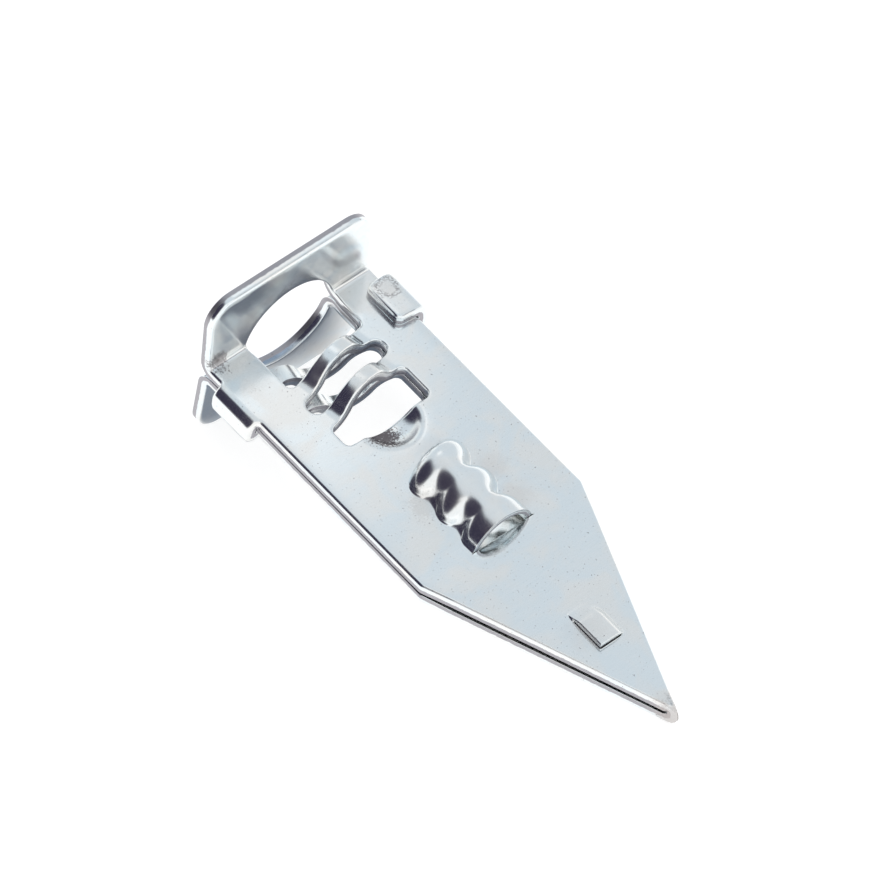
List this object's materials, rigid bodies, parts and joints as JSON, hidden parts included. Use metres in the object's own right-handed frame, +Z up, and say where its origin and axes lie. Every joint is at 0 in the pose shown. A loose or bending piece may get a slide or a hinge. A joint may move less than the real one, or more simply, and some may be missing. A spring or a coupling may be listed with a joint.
{
  "type": "drive-in drywall anchor",
  "caption": "Folded sheet-steel wall anchor: a pointed two-leaf strip with head flanges, a screw hole, half-thread straps, a thread tunnel and clasping tabs.",
  "frame": {"origin": "centre of the bounding box's bottom face, on the surface that the anchor lies on", "axes": "+X from the head towards the point, +Z up from the surface, +Y across the strip; the strip slopes down to its point by 8.7 degrees"},
  "size_m": [0.0408, 0.0156, 0.0136],
  "materials": {
    "zinc_steel": "bright zinc-plated sheet steel, faintly streaked and mottled, with rolled shear edges and a few pale yellow-brown stains"
  },
  "bodies": {
    "root": {"anchor_strip": "zinc_steel"}
  },
  "joints": []
}
